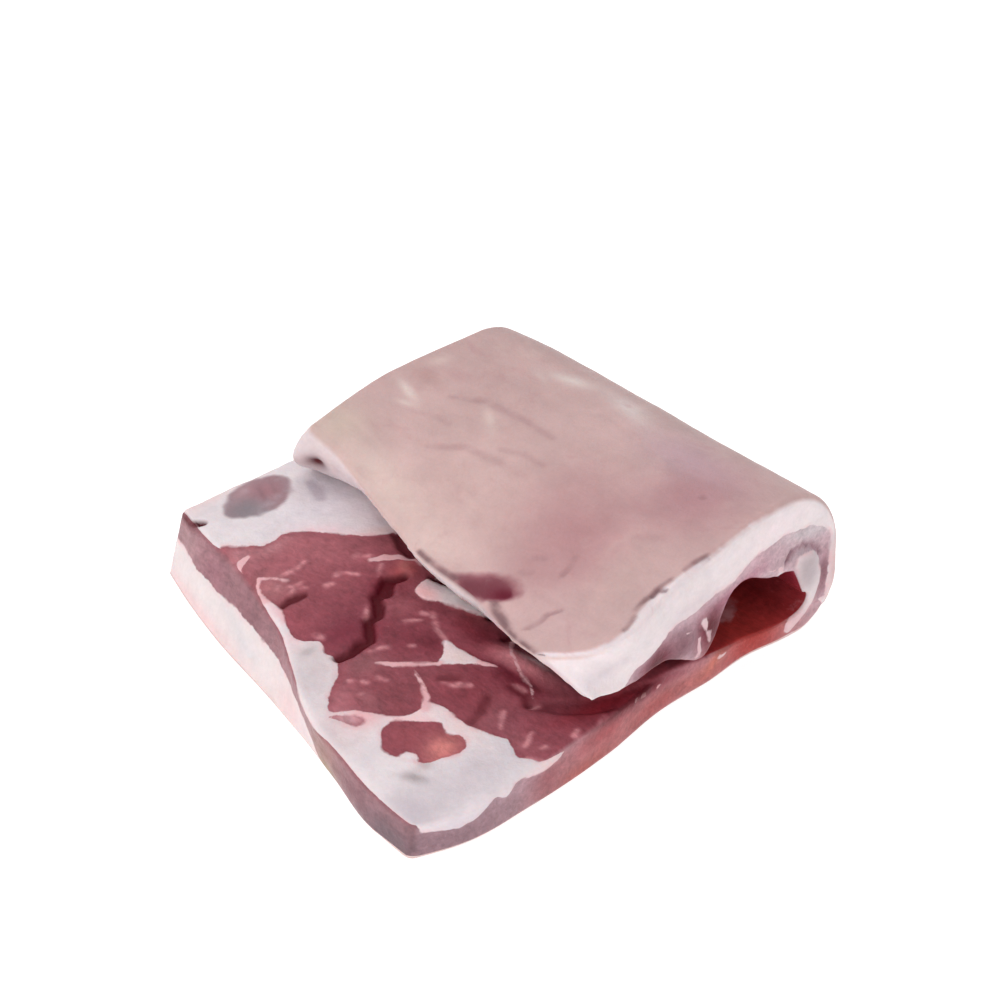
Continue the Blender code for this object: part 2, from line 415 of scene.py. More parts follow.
FOLD_CREASE = (
    (91, 47, 1.2), (94, 51, 1.5), (101, 52, 1.6), (109, 48.5, 1.6), (114, 42, 1.2), (114, 36, 0.6),
)
SPILL_X = (-124, -113, -103, -95, -90, -87, -78, -75, -65, -56, -46, -40)
SPILL = (4.5, 5.5, 8, 7.5, 4.5, 2.6, 5, 2, 4.7, 5.0, 1.0, -2)


def near_face(points):
    a, b = x[points], z[points]
    uneven = 0.8 * lumps(points, 10, 33) + 0.5 * lumps(points, 3.5, 34)
    flap = np.minimum(through(BAND_X, BAND_Z, a) - b, np.where(b < 48, 121.5 - a, 9))
    flap = np.minimum(flap, np.where(a > 104, b - 14, 9))
    flap = np.minimum(flap, -inside(FOLD_BAND, a, b)) + uneven
    lower = sunk[points] - through(SPILL_X, SPILL, a) + uneven
    lean = np.where(s[points] > 0.5 * (HEEL_END + FLOOR_END), flap, lower)
    lean = np.where(s[points] > 0.46, np.minimum(lean, -inside(FOLD_BAND, a, b)), lean)
    seams = np.min([beside(route, a, b) for route in NEAR_SEAMS], axis=0)
    seams = seams + 4.8 * np.maximum(lumps(points, 4, 44) + 0.1, 0)
    # The crease over the pale band is sunk and tinted darker; the darker tint is painted shade in the slit.
    crease = line_of(FOLD_CREASE, a, b) * np.clip(0.8 + lumps(points, 5, 45), 0.3, 1)
    # The darkest maroon washes below the flap's tip, at (7, 36) and (40, 38), and on the lower layer at (8,
    # 19), are painted shadow in the gap where the flap meets the lower layer.
    lean_tint = washed((194, 163, 171), a, b, (
        ((197, 186, 190), 106, 57, 20, 4, -15, 0.9), ((166, 98, 118), 57, 49, 17, 4, 12, 0.9),
        ((172, 150, 157), 104, 47, 8, 5, 0, 0.9), ((138, 94, 104), 118.5, 28, 4, 11, 0, 1.0),
        ((96, 28, 40), 40, 38, 9, 9, 0, 1.0), ((92, 26, 38), 7, 36, 11, 9, 20, 1.0),
        ((134, 66, 76), 41, 26, 7, 8, 0, 0.9), ((136, 94, 104), 23, 38, 8, 7, -40, 1.0),
        ((200, 160, 170), 66, 58, 12, 4, 10, 0.6),
        # the lower layer
        ((154, 122, 130), -100, 6, 45, 26, 0, 1.0), ((142, 112, 120), -119, 6, 9, 12, 0, 0.8),
        ((176, 102, 98), -34, 3, 26, 7, 0, 1.0), ((160, 98, 104), -56, 10, 10, 10, 0, 0.8),
        ((166, 80, 84), -22, 15, 28, 8, 0, 0.9), ((176, 92, 92), 14, 7, 34, 9, 0, 1.0),
        ((124, 42, 54), 8, 19, 26, 4, -6, 0.9), ((182, 104, 98), 46, 6, 14, 6, 0, 0.8),
        ((214, 132, 112), 52, 11, 7, 3, 20, 0.9), ((170, 62, 58), 78, 8, 24, 14, 0, 1.0),
    ))
    lean_tint += (np.array((146, 110, 120)) - lean_tint) * crease[:, None]
    return {
        "lean": np.clip(np.minimum(lean, seams), -LEAN_LIMIT, LEAN_LIMIT),
        "lean_tint": lean_tint,
        "fat_tint": washed((232, 219, 221), a, b, (
            ((240, 223, 226), 78, 70, 22, 6, 5, 0.8), ((180, 164, 168), 107, 36, 9, 13, 0, 0.95),
            ((226, 188, 192), 102, 9, 9, 7, 0, 0.9), ((213, 175, 176), 127, 30, 5, 17, 0, 0.95),
            ((220, 182, 188), 34, 34, 16, 14, 0, 0.9), ((214, 198, 203), 24, 56, 14, 3, 10, 0.6),
            ((208, 142, 142), 10, 15, 56, 8, 0, 1.0), ((222, 188, 192), 86, 46, 14, 3, -10, 0.9),
            (LILAC, -95, 12, 26, 8, 0, 0.8), ((212, 200, 206), -22, 46, 12, 3, 20, 0.7),
        )),
        # Dark red ovals along the gap under the flap's tip: painted shadow.
        "blood": 0.9 * oval(a, b, -6, 22, 24, 4.5, 0) + 0.7 * oval(a, b, 12, 26, 12, 4, 45)
        + 0.5 * oval(a, b, 43, 33, 4, 9, 0),
        "lift": 0.5 * np.exp(-(np.maximum(seams, 0) / 1.5)**2) - 0.9 * crease
        + 1.2 * oval(a, b, 22, 37, 9, 8, -40) + 0.35 * np.clip(-lean, -1, 1),
    }


near = np.flatnonzero(on_near)
lay(near, np.ones(len(near)), **left_face(near))
lay(near, eased(along[near] / 4), **near_face(near))

# The far cut face: white fat with two streaks of lean.
far = np.flatnonzero(on_far)
uneven = 1.6 * lumps(far, 16, 35) + 0.6 * lumps(far, 5, 36)
middle_streak = np.minimum(rise[far] - 0.44 * thick[far], 0.62 * thick[far] - rise[far]) + uneven
inner_streak = np.minimum(rise[far] - 0.76 * thick[far], 3.0) + uneven
lay(
    far, np.ones(len(far)),
    lean=np.clip(np.maximum(middle_streak, inner_streak), -LEAN_LIMIT, LEAN_LIMIT),
    lean_tint=washed((166, 124, 132), x[far], z[far], (((150, 92, 102), 60, 40, 50, 20, 0, 0.6),)),
    fat_tint=washed(PINK_WHITE, x[far], z[far], (((208, 198, 202), 10, 50, 30, 12, 0, 0.6),)),
    lift=0.3 * uneven,
)

# The flap's free edge: a strip of fat under the rind with lean below it, and a small dark
# pocket near the far corner where the fat has split. The pocket's darkness and a dark line just
# under the rind are painted shade.
TIP_FAT_AT = (0, 8, 16, 36, 44, 80, 110, 150, 175, 190, 225)
TIP_FAT = (5, 4, 4, 6, 8, 8, 7, 13, 20, 40, 60)

tip = np.flatnonzero(on_tip)
a, b = over[tip], rise[tip]
uneven = 1.0 * lumps(tip, 9, 37) + 0.6 * lumps(tip, 3, 38)
tip_lean = np.minimum(b - through(TIP_FAT_AT, TIP_FAT, a), a - 4) + uneven
pocket = oval(a, b, 208, 14, 6, 4.5, 20)
shaded_rim_line = np.exp(-((b - 1.5) / 0.9)**2) * (0.5 + lumps(tip, 12, 39))
shaded_rim_line *= eased((120 - a) / 20) * eased((a - 20) / 8)
lay(
    tip, np.ones(len(tip)),
    lean=np.clip(tip_lean, -LEAN_LIMIT, LEAN_LIMIT),
    lean_tint=washed((134, 66, 76), a, b, (
        ((112, 62, 72), 26, 8, 14, 8, 0, 0.9), ((118, 40, 52), 70, 14, 24, 6, 0, 0.6),
    )),
    fat_tint=washed((222, 208, 211), a, b, (
        ((232, 198, 204), 38, 4, 10, 4, 0, 0.9), ((212, 194, 195), 205, 6, 22, 7, 0, 0.9),
        ((200, 190, 194), 200, 26, 26, 7, 0, 0.8), ((214, 190, 190), 216, 18, 8, 6, 0, 0.6),
        ((196, 184, 186), 60, 4, 8, 3, 0, 0.7), ((208, 198, 200), 96, 4, 14, 3, 0, 0.6),
        ((232, 212, 214), 150, 4, 30, 5, 0, 0.8),
    )),
    blood=np.clip(np.maximum(1.1 * pocket, 0.7 * shaded_rim_line), 0, 1),
    lift=-3.0 * pocket + 0.4 * uneven - 0.5 * shaded_rim_line,
)

# The lower layer's meat side, seen from above in x and y.
LEAN_OUTLINES = (
    # the big muscles, from the far fat round under the flap, the near end and the left edge
    ((-72, 112), (-66, 108), (-60, 101), (-55, 99), (-48, 99), (-42, 98), (-36, 92), (-29, 84),
     (-23, 76), (-17, 70), (-10, 66), (4, 60), (40, 50), (70, 0), (60, -100), (-10, -106),
     (-56, -106), (-60, -92), (-63, -85), (-65, -80), (-63, -75), (-61, -70), (-64, -65),
     (-66, -60), (-68, -53), (-69, -46), (-69, -39), (-71, -33), (-76, -33.5), (-81, -33),
     (-88, -29), (-93, -22), (-99, -14), (-105, -9), (-103, -4), (-96, 1), (-90, 6), (-85, 11),
     (-82, 15), (-84, 21), (-81, 26), (-80, 30), (-84, 34), (-86, 40), (-84, 48), (-80, 56),
     (-79, 66), (-80, 76), (-80, 90), (-78, 102)),
    # the island in the near fat
    ((-97, -32), (-91, -30), (-86, -34), (-80, -40), (-76, -45), (-77, -51), (-74, -57),
     (-77, -62), (-84, -61.5), (-90, -59), (-95, -56), (-98, -51), (-102, -45), (-102, -38)),
    # the thin pale strip beside it
    ((-108, -11), (-104, -13), (-99, -19), (-98, -23), (-102, -23), (-105, -18)),
)
FAT_OUTLINES = (
    # between the two big muscles, beside the flap
    ((-29, 22), (-26, 28), (-16, 28), (-9, 25), (-4, 10), (-5, -12), (-11, -14), (-18, -9),
     (-21, -3), (-24, 5), (-26, 14)),
    # where three bundles meet
    ((-53, -19), (-47, -15), (-41, -9), (-40, -20), (-38, -28), (-36, -36), (-40, -31), (-44, -26)),
    # a notch in the island
    ((-101, -47), (-97, -47), (-94, -50), (-96, -53), (-101, -52)),
)
MEMBRANES = (
    ((-73, 0, 0.6), (-70, -4, 2.6), (-65, -8.5, 2.8), (-60, -14, 2.2), (-53, -19, 2.2)),
    ((-64, -15, 0.6), (-67, -23, 1.4), (-70, -30, 2.6), (-75, -34, 3)),
    ((-39, -30, 1.6), (-36, -37, 0.8)),
    ((-29, 56, 2.5), (-23, 53, 4.2), (-18, 49, 3.2), (-14, 42, 2.2), (-12.5, 33, 2.8), (-12, 28, 1.5)),
    ((-68, 97, 2.2), (-72, 96.5, 4.4), (-76, 93, 1.8), (-78.5, 87, 1.6), (-79, 80, 1.4)),
    ((-80, 68, 2.4), (-79, 74, 1.6), (-76, 78.5, 1.5), (-73, 81.5, 1.8), (-69, 77, 1.2), (-66, 71, 0.9)),
    ((-37, -60, 0.6), (-33, -54, 1.2), (-30.5, -45, 1.4), (-27, -36, 1.2), (-21, -30.5, 2.4)),
    ((-16, -20, 1.6), (-13, -23, 3), (-12.5, -28, 2)),
)
# Pale seams that lie just under the surface, so that they are only lighter lean.
FAINT_SEAMS = (
    ((-41, -9, 0.8), (-39, -2, 0.6), (-36, 4, 0.8), (-33, 9, 0.8)),
    ((-59, -28, 0.4), (-57, -33, 1.6), (-53, -37, 1.2)), ((-78, -8, 0.5), (-77, -11, 0.4)),
    ((-48, 58, 0.8), (-45, 59, 1.0), (-40, 52, 0.4)), ((-55, 56, 1.2), (-53, 55, 1.2)),
    ((-36, 63, 1.2), (-31, 62, 1.4), (-27, 58, 0.8)), ((-72, 71, 0.8), (-66, 66, 0.6), (-63, 61, 0.4)),
    ((-38, -50, 0.8), (-37, -54, 0.6)), ((-57, 26, 1.2), (-52, 30, 0.6), (-50, 32, 0.4)),
    ((-79, 34, 0.8), (-78, 30, 0.8)), ((-63, -84, 0.6), (-60, -89, 0.8)),
    ((-54, -84, 1.0), (-53, -85, 0.8)),
    ((-40, -88, 1.0), (-36, -86, 0.4)), ((-55, -2, 0.8), (-54, -3, 0.6)), ((-88, 0, 0.6), (-87, -2, 0.4)),
    ((-37, -64, 0.4), (-41, -63, 0.6)), ((-36, 11, 1.2), (-35, 9, 0.8)),
    ((-59, -64, 0.2), (-56, -61, 0.6), (-52, -58, 0.2)), ((-84, -5, 0.8), (-83.5, -6.5, 0.6)),
    ((-90, -10.5, 0.5), (-89.5, -12.5, 0.2)), ((-27, 50, 0.4), (-33, 46, 0.8)),
    ((-66, 76, 0.4), (-58, 74, 1.0), (-52, 76, 0.4)), ((-70, 63, 0.6), (-62, 66, 0.4)),
    ((-46, 12, 0.3), (-40, 8, 0.5)),
    ((-58, -78, 0.6), (-50, -74, 0.4)), ((-30, -92, 0.4), (-22, -88, 0.8)), ((-70, 8, 0.4), (-62, 4, 0.6)),
)
# x, y and width along each groove, its depth, and how dark it is. The dark red is partly blood
# and partly painted shade in the groove.
GROOVES = (
    (((-82, 15, 1), (-76, 13, 2.4), (-70, 14.5, 3), (-65, 13.5, 1.6), (-60, 19, 2), (-57, 24, 2.2),
      (-51, 24, 1.8), (-47, 29, 3.4), (-44, 35, 2), (-38, 35, 6), (-32, 40, 4), (-25, 37, 1.5)), 2.8, 1.1),
    (((-77, 60, 0.8), (-72, 59.5, 2.6), (-69, 59, 2.4), (-66, 58, 0.8)), 1.6, 0.9),
    # this and the next: a dark gap beside the flap and the gap under its tip, their darkness painted shadow
    (((-15.5, 27, 1), (-13.5, 21, 2.6), (-13.5, 15, 1)), 2.5, 1.1),
    (((-41, -62, 2), (-36, -67, 4), (-30, -73, 6), (-22, -79, 7), (-10, -84, 7), (8, -86, 6)), 1.6, 0.3),
    (((-92, 143, 2), (-84, 141, 2.4), (-77, 138.5, 3), (-70, 136, 2), (-67, 133, 0.8)), 2.6, 1.2),
    (((-65, -53, 1), (-58, -51.5, 2), (-51, -48, 0.8)), 0.9, 0.5),
    (((-59, -26, 1), (-56, -28, 2), (-53, -31, 0.8)), 0.7, 0.5),
    # these three run in the shadowed gaps along the flap's rim: their darkness is painted shadow
    (((-7, 62, 2), (-11, 52, 4), (-12, 46, 3)), 1.6, 0.6),
    (((-16, -11, 1), (-11, -14, 3.6), (-9, -17, 2)), 1.6, 0.8),
    (((-22, -27, 1), (-17, -27, 2.5), (-15, -30, 1)), 1.2, 0.7),
    (((-40, -61, 2), (-38, -57, 1.5), (-39, -50, 0.6)), 0.9, 0.6),
)
PLAN_LEAN = (
    # the far muscle: paler towards the far fat, darkest beside the groove
    ((166, 98, 106), -45, 84, 40, 22, -35, 0.95), ((184, 124, 130), -56, 95, 11, 5, 0, 0.8),
    ((178, 122, 128), -70, 101, 7, 9, 0, 0.8), ((172, 114, 118), -73, 72, 8, 11, 0, 0.8),
    ((158, 96, 104), -72, 88, 9, 8, 0, 0.7), ((152, 78, 88), -78, 48, 9, 12, 0, 0.7),
    ((116, 46, 60), -68, 25, 15, 11, 10, 0.95), ((128, 58, 70), -52, 44, 14, 10, 30, 0.5),
    ((104, 30, 44), -37, 37, 7, 7, 0, 0.9), ((112, 38, 52), -61, 16, 12, 4, 20, 0.7),
    ((150, 84, 92), -50, 50, 8, 6, 0, 0.5), ((166, 80, 84), -22, 40, 8, 6, 0, 0.9),
    ((192, 120, 116), -20, 42, 5, 3, 60, 0.7), ((150, 86, 92), -11, 60, 8, 6, 0, 0.5),
    # between the groove and the white patch
    ((148, 82, 90), -40, 20, 12, 9, 30, 0.8), ((126, 54, 66), -52, 5, 13, 13, 0, 0.8),
    ((112, 42, 54), -48, -6, 7, 9, 20, 0.8), ((142, 88, 94), -77, 3, 9, 9, 0, 0.85),
    ((168, 104, 112), -97, -6, 9, 7, 30, 0.85), ((132, 68, 76), -78, -20, 14, 11, 0, 0.8),
    ((146, 92, 98), -90, -16, 4, 8, 0, 0.6),
    # the near bundles, and the small ones beside the flap. The dark reds at (-14, -82) and
    # (-14, -90) lie in the gap under the flap's tip and are partly painted shadow; the pale line at
    # (-22, -46) is a painted highlight along the bundle's upper side.
    ((114, 40, 52), -29, -20, 9, 13, 0, 0.95), ((142, 58, 70), -26, -8, 6, 5, 0, 0.7),
    ((132, 58, 68), -56, -40, 15, 14, 0, 0.8), ((112, 40, 52), -36, -48, 6, 12, 10, 0.8),
    ((146, 84, 92), -58, -58, 10, 5, 15, 0.8), ((130, 70, 80), -56, -66, 8, 4, 20, 0.7),
    ((144, 76, 86), -50, -80, 16, 10, 0, 0.8), ((160, 96, 104), -59, -76, 5, 8, 0, 0.7),
    ((206, 134, 140), -27, -42, 5, 17, 12, 0.9), ((214, 190, 192), -22, -46, 1.6, 10, 12, 0.9),
    ((156, 44, 56), -14, -82, 22, 6, -10, 0.8), ((104, 32, 46), -35, -44, 2, 12, 8, 0.7),
    ((120, 44, 56), -14, -90, 14, 5, 0, 0.6), ((176, 92, 96), -18, -6, 8, 12, 0, 0.6),
    # the island: redder towards the near end
    ((146, 74, 82), -90, -41, 11, 9, 0, 0.9), ((202, 124, 120), -84, -56, 9, 7, 0, 1.0),
    ((190, 142, 148), -103, -17, 5, 9, 40, 1.0),
)
PLAN_FAT = (
    ((203, 191, 197), -86, -76, 30, 14, 0, 0.85), ((192, 180, 188), -116, -72, 10, 12, 0, 0.8),
    ((208, 192, 195), -92, 16, 12, 22, -20, 0.85),
    ((214, 196, 199), -110, -22, 10, 14, 0, 0.8), ((160, 148, 150), -103, -60, 2.5, 6, 30, 0.8),
    ((186, 166, 168), -96, -57, 4, 3, 0, 0.7), ((226, 198, 198), -71, -50, 4, 12, 0, 0.8),
    ((236, 200, 202), -82, -36, 9, 5, -40, 0.9), ((228, 176, 180), -98, -20, 6, 9, 45, 0.9),
    ((205, 194, 198), -102, 14, 6, 16, -35, 0.7), ((176, 166, 168), -88, 28, 4, 3, 0, 0.75),
    ((236, 206, 210), -88, 38, 5, 6, 0, 0.7), ((232, 190, 196), -81, 55, 3, 10, 0, 0.9),
    ((240, 196, 202), -74, 90, 8, 12, 0, 1.0), ((236, 188, 192), -72, 76, 8, 8, 0, 0.9),
    ((234, 200, 206), -30, 88, 5, 18, 40, 0.6), ((226, 200, 198), -12, 70, 8, 4, -30, 0.8),
    ((222, 214, 222), -25, 105, 26, 14, 0, 0.5), ((196, 188, 194), 0, 120, 16, 8, 10, 0.6),
    ((214, 202, 206), -60, 138, 10, 6, 0, 0.5), ((228, 204, 204), -55, 146, 26, 4, 0, 0.7),
    # the patch beside the flap is coloured brighter than the fat elsewhere: painted light that offsets the
    # flap's shadow on it
    ((255, 198, 198), -25, 22, 6, 9, 0, 1.0), ((255, 244, 244), -15, 8, 7, 14, 0, 1.0),
    ((214, 198, 200), -20, 3, 2.5, 5, 0, 0.6), ((238, 208, 212), -27, 1, 3, 3, 0, 0.9),
    ((226, 186, 190), -14, 36, 4, 8, 0, 0.8), ((232, 192, 192), -23, 53, 6, 5, 0, 0.9),
    ((222, 166, 172), -65, -9, 10, 9, -40, 0.9), ((224, 166, 172), -28, -42, 9, 22, 10, 0.9),
    ((232, 206, 204), -44, -20, 6, 8, 0, 0.8), ((226, 176, 180), -69, -30, 6, 7, 40, 0.8),
)
OVAL_STREAK = (
    (-57, 129), (-52, 136), (-44, 141), (-30, 143), (-20, 139), (-18, 130), (-24, 121), (-34, 117),
    (-48, 120),
)


def meat_side(points):
    stray = 0.9 * lumps(points, 9, 1) + 0.35 * lumps(points, 3, 2)
    drift = 0.9 * lumps(points, 9, 3) + 0.35 * lumps(points, 3, 4)
    a, b = x[points] + stray, y[points] + drift
    lean = np.max([inside(corners, a, b) for corners in LEAN_OUTLINES], axis=0)
    for corners in FAT_OUTLINES:
        lean = np.minimum(lean, -inside(corners, a, b))
    seams = np.min([beside(route, a, b) for route in MEMBRANES], axis=0)
    faint = np.max([line_of(route, a, b, 1.1) for route in FAINT_SEAMS], axis=0)
    faint *= np.clip(0.7 + 1.2 * lumps(points, 3.5, 6), 0, 1)
    blood = np.zeros(len(points))
    lift = 0.35 * np.exp(-(np.maximum(seams, 0) / 1.5)**2) + 0.2 * faint
    lift += 0.8 * eased(lean / 8) - 0.5 * eased(lean / 1.6 + 0.5)
    lift += 2.5 * oval(a, b, -25, -42, 5, 17, 12) + 1.5 * oval(a, b, -66, 26, 11, 9, 0)
    lift += 1.6 * oval(a, b, -17, 8, 7, 16, 0)
    for route, depth, dark in GROOVES:
        share = line_of(route, a, b, 1.5)
        blood = np.maximum(blood, share * dark)
        lift -= depth * share
    lean_tint = washed(DUSKY, a, b, PLAN_LEAN)
    lean_tint += (np.array((206, 140, 146)) - lean_tint) * (0.85 * faint)[:, None]
    fat_tint = washed((226, 215, 218), a, b, PLAN_FAT)
    gone_grey = inside(OVAL_STREAK, a, b) + 1.2 * lumps(points, 5, 7)
    grey = washed((146, 122, 129), a, b, (
        ((162, 112, 120), -31, 131, 11, 12, 0, 0.9), ((130, 120, 126), -47, 125, 9, 9, 0, 0.9),
        ((134, 98, 106), -34, 130, 1.5, 9, -20, 0.7), ((138, 104, 110), -27, 130, 1.3, 8, -20, 0.6),
        ((176, 136, 142), -40, 138, 8, 3, 20, 0.6),
    ))
    fat_tint += (grey - fat_tint) * (0.92 * eased(gone_grey / 3 + 0.5))[:, None]
    streak = 0.6 * line_of(((-12, 121, 2), (-13, 114, 2.5), (-16, 108, 1.5)), a, b, 2.0)
    fat_tint += (np.array((176, 162, 172)) - fat_tint) * streak[:, None]
    fat_tint += (np.array((222, 168, 172)) - fat_tint) * (0.75 * eased(1 - seams / 2))[:, None]
    return {
        "lean": np.clip(np.minimum(lean, seams), -LEAN_LIMIT, LEAN_LIMIT), "lean_tint": lean_tint,
        "fat_tint": fat_tint, "blood": blood, "lift": lift,
    }


top = np.flatnonzero(on_meat & (s < 0.37))
lay(top, 1 - eased((s[top] - 0.33) / 0.03), **meat_side(top))
brim = np.flatnonzero((on_near | on_left | on_far) & (s < 0.36) & (sunk < 1.8))
lay(brim, 1 - eased(sunk[brim] / 1.8), **meat_side(brim))

# The rind, along the slab and over it. It is cut away along the near edge of the flap and at
# the tip, where lean and fat show through.
skin = np.flatnonzero(on_rind)
a, b = along[skin], over[skin]
RIND = (201, 169, 167)
rind_tint = washed(RIND, a, b, (
    ((187, 162, 160), 268, 112, 12, 140, 0, 0.5), ((192, 160, 158), 300, 180, 40, 50, 0, 0.7),
    ((214, 190, 183), 390, 165, 13, 42, 0, 0.9), ((199, 177, 167), 386, 214, 16, 16, 0, 0.95),
    ((216, 190, 185), 394, 112, 12, 26, 0, 0.8), ((206, 174, 170), 365, 130, 26, 40, 0, 0.6),
    ((180, 134, 137), 352, 62, 28, 30, 0, 0.9), ((178, 133, 138), 303, 34, 26, 26, 0, 0.9),
    ((186, 146, 147), 330, 84, 22, 18, 0, 0.5), ((184, 142, 144), 374, 62, 12, 16, 0, 0.7),
    ((190, 158, 168), 285, 58, 12, 30, 0, 0.7), ((202, 168, 168), 385, 30, 14, 18, 0, 0.8),
    ((198, 168, 164), 355, 26, 18, 10, 0, 0.5),
    ((222, 202, 196), 342, 204, 3, 11, 20, 0.9), ((216, 200, 196), 281, 152, 4, 14, -14, 0.9),
    ((214, 198, 196), 277, 112, 5, 18, 8, 0.9), ((216, 192, 186), 328, 155, 3, 10, 30, 0.8),
    ((218, 198, 192), 350, 198, 2, 6, -20, 0.7), ((214, 192, 188), 290, 164, 2, 8, 16, 0.6),
    ((214, 188, 182), 312, 214, 6, 5, 0, 0.7), ((183, 148, 145), 326, 206, 6, 11, 20, 0.8),
    ((180, 140, 142), 316, 196, 4, 8, 0, 0.4),
))
# Wrinkles in the rind: along, over and width, then softness and strength. Each is sunk a little and tinted
# darker; the darker tint is painted shade in the crease.
WRINKLES = (
    (((330, 184, 0.6), (320, 168, 1.4), (317, 142, 1.4), (317, 120, 0.6)), 1.7, 0.5),
    (((361, 166, 0.6), (348, 149, 1.4), (344, 129, 1.4), (342, 108, 0.6)), 1.7, 0.45),
    (((338, 134, 0.4), (333, 122, 1.2), (332, 108, 0.4)), 1.6, 0.4),
    (((352, 190, 0.4), (345, 178, 1.2), (344, 168, 0.4)), 1.6, 0.3),
    (((371, 69, 1.2), (369, 65, 1.2)), 1.2, 0.5),
    (((361, 53, 1.2), (365, 51, 1.4), (370, 51, 0.8)), 1.2, 0.8),
    (((380, 67, 1), (378, 63, 1.2)), 1.2, 0.6),
    (((394, 28, 0.6), (390, 32, 1), (386, 35.5, 1), (381, 34, 0.6)), 0.9, 0.95),
    (((301, 31.5, 0.8), (301, 30, 0.8)), 0.9, 0.9),
    (((336, 36, 1), (333, 30, 1.5), (330, 26, 1)), 2.0, 0.3),
)
skin_lift = np.zeros(len(skin))
for route, softness, strength in WRINKLES:
    share = strength * line_of(route, a, b, softness) * np.clip(0.8 + lumps(skin, 7, 43), 0.2, 1)
    rind_tint += (np.array((150, 112, 116)) - rind_tint) * (0.55 * share)[:, None]
    skin_lift -= 0.6 * share
lay(
    skin, np.ones(len(skin)), lean=-LEAN_LIMIT, lean_tint=np.array(MAROON), fat_tint=rind_tint,
    blood=0, lift=skin_lift,
)

CUT_BACK_ALONG = (0, 250, 300, 322, 335, 346, 353, 361, 372, 385, 393, 400)
CUT_BACK = (-3, -2, 1.0, 1.0, 3.0, 4.5, 6.0, 6.5, 3.0, 2.0, 2.5, 5.0)
BARE_PATCH = (
    (397, 84), (392, 80), (387, 75), (384, 66), (385, 58), (388, 53), (393, 51.5), (399, 55), (404, 66),
    (402, 77),
)
RIM_LINES = (
    ((398.8, 112, 0.2), (399, 92, 0.4), (398.4, 80, 0.3)),
    ((396, 53, 0.4), (397.4, 44, 1.4), (398.6, 30, 0.6)),
    ((399, 28, 0.5), (399, 12, 0.5), (398.8, 2, 0.2)),
)
NICKS = (
    ((353, 6, 0.5), (357, 8, 0.9), (363, 8.5, 0.6)), ((344, 5, 0.5), (350, 7, 0.9), (354, 7, 0.5)),
    ((351, 6.5, 0.5), (349, 3, 0.6)), ((326, 2, 0.6), (333, 3.6, 1.0), (337, 4, 0.5)),
    ((372, 4, 0.5), (366, 6, 0.6)),
)
uneven = 0.8 * lumps(skin, 6, 41) + 0.4 * lumps(skin, 2.5, 42)
cut_back = through(CUT_BACK_ALONG, CUT_BACK, a) - b + uneven
lay(skin, eased(cut_back / 2.0 + 0.5), lift=-0.6, fat_tint=washed((228, 214, 217), a, b, (
    ((226, 194, 198), 394, 10, 8, 6, 0, 0.9), ((214, 200, 205), 380, 4, 8, 4, 0, 0.6),
)))
bare = inside(BARE_PATCH, a, b) + 1.6 * uneven
lay(
    skin, eased(bare / 6.0 + 0.3), lift=-0.9, fat_tint=washed((124, 66, 76), a, b, (
        ((150, 96, 104), 392, 79, 7, 6, 0, 0.9), ((98, 22, 40), 392, 56, 4, 7, 0, 1.0),
        ((150, 98, 104), 385, 66, 3, 10, 0, 0.8), ((110, 56, 66), 397, 68, 4, 9, 0, 0.7),
    )),
)
# Dark lines along the nicks and the rind's rim, each sunk a little: the nicks' darkness is partly the cut
# itself and partly painted shade, and the rim lines are painted shadow under the rind's edge.
for routes, softness, strength in ((NICKS, 0.9, 0.55), (RIM_LINES, 1.1, 0.7)):
    for route in routes:
        share = line_of(route, a, b, softness) * np.clip(0.8 + uneven, 0.2, 1)
        lay(skin, strength * share, fat_tint=np.array((104, 74, 78)))
        looks["lift"][skin] -= 0.5 * share

# A thin pale line of rind shows all along the foot of each cut face.
foot = np.flatnonzero((on_near | on_left | on_far | on_tip) & (rise < 2.4))
lay(
    foot, 1 - eased((rise[foot] - 1.2) / 1.2), lean=-LEAN_LIMIT, fat_tint=np.array((217, 190, 186)),
    blood=0,
)

# The meat swells and sinks a little, the rind less, and the side that lies on the table is
# flat. The skin is then shifted so that the middle of the slab's base is the origin, and kept
# inside the solid's own box.
everywhere = np.arange(len(s))
soft = 0.5 * lumps(everywhere, 14, 21) + 0.22 * lumps(everywhere, 5, 22) + 0.1 * lumps(everywhere, 2.5, 23)
dimples = 0.18 * lumps(everywhere, 18, 24) + 0.1 * lumps(everywhere, 6, 25)
relief = looks["lift"] + 0.35 * lumps(everywhere, 40, 20) + np.where(on_rind, dimples, soft)
relief *= eased(z / 6)

mesh = bpy.data.meshes.new("belly_slab_skin")
mesh.vertices.add(len(placed))
mesh.loops.add(quads.size)
mesh.polygons.add(len(quads))
mesh.loops.foreach_set("vertex_index", quads.ravel().astype(np.int32))
mesh.polygons.foreach_set("loop_start", np.arange(0, quads.size, 4, dtype=np.int32))
mesh.vertices.foreach_set("co", placed.astype(np.float32).ravel())
mesh.update(calc_edges=True)
normals = np.empty(len(placed) * 3, np.float32)
mesh.vertex_normals.foreach_get("vector", normals)
box_low, box_high = (np.array(corner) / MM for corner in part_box("belly_slab"))
middle = np.array((3.668, 29.016, 0.0))
surface = placed + normals.reshape(-1, 3) * relief[:, None] - middle
surface = np.clip(surface, box_low, box_high)
mesh.vertices.foreach_set("co", (surface * MM).astype(np.float32).ravel())
mesh.update()
mesh.shade_smooth()


def linear(colours):
    """Colours as they look on a screen, 0 to 255, in the linear values that a shader takes."""
    parts = np.clip(np.array(colours, float) / 255, 0, 1)
    return np.where(parts <= 0.04045, parts / 12.92, ((parts + 0.055) / 1.055)**2.4)


